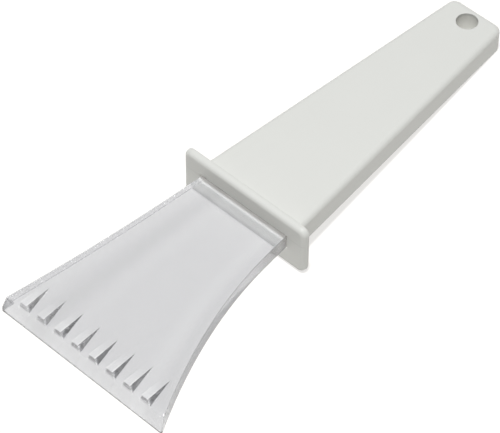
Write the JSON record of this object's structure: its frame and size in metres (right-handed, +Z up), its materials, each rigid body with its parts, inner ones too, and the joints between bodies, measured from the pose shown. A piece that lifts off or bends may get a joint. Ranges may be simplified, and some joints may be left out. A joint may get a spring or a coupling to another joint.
{
  "type": "windshield ice scraper",
  "caption": "Hand ice scraper: flared clear blade with ice-breaking teeth, seated in a white tapered handle with a hand guard and hanging hole.",
  "frame": {"origin": "on the table the scraper lies on, midway between the scraping edge and the tail and on the centre line", "axes": "+X from the scraping edge to the tail, +Y across the scraper, +Z up from the table. The handle slopes 2.75 degrees down towards the tail, so its length is that far off +X"},
  "size_m": [0.2256, 0.0828, 0.0236],
  "materials": {
    "white_plastic": "satin moulded",
    "clear_plastic": "polished clear"
  },
  "bodies": {
    "root": {"handle": "white_plastic", "blade": "clear_plastic"}
  },
  "joints": []
}
